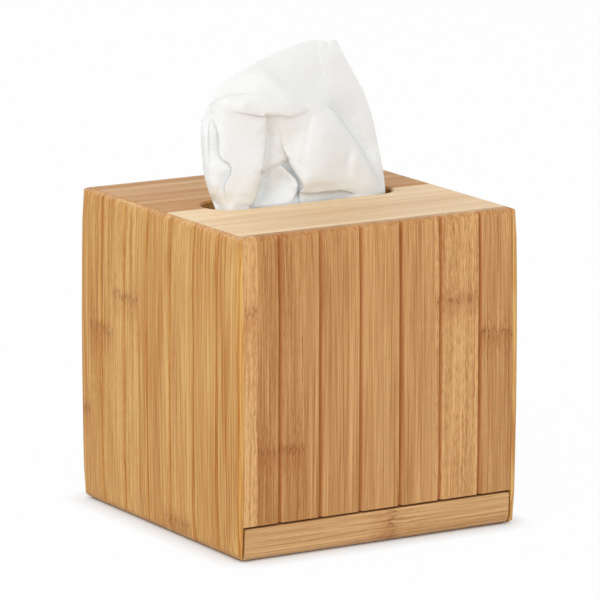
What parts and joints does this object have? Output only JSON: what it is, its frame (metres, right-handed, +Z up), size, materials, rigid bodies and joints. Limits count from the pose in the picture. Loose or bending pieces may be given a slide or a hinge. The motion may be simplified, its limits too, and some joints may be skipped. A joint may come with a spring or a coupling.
{
  "type": "cube tissue box",
  "caption": "Bamboo cube box that hands out paper tissues through a slot in its top; the base slides out to the front for a new pack.",
  "frame": {"origin": "on the floor under the middle of the box", "axes": "+Z up; the face with the sliding bar looks along -Y; +X is to the right of someone who looks at that face"},
  "size_m": [0.14, 0.14, 0.209],
  "materials": {
    "bamboo_sides": "clear matt varnish on laminated bamboo",
    "bamboo_panels": "clear matt varnish on laminated bamboo",
    "bamboo_top": "clear matt varnish on laminated bamboo",
    "bamboo_base": "clear matt varnish on laminated bamboo",
    "tissue_paper": "soft, matt"
  },
  "bodies": {
    "box": {"left_wall": "bamboo_sides", "right_wall": "bamboo_sides", "front_panel": "bamboo_panels", "back_panel": "bamboo_panels", "top_panel": "bamboo_top", "tissue_stack": "tissue_paper", "tissue": "tissue_paper"},
    "base": {"base_board": "bamboo_base", "base_front": "bamboo_base"}
  },
  "joints": [
    {"name": "base_slide", "type": "slide", "parent": "box", "child": "base", "axis": [0, -1, 0], "range_m": [0, 0.12]}
  ]
}
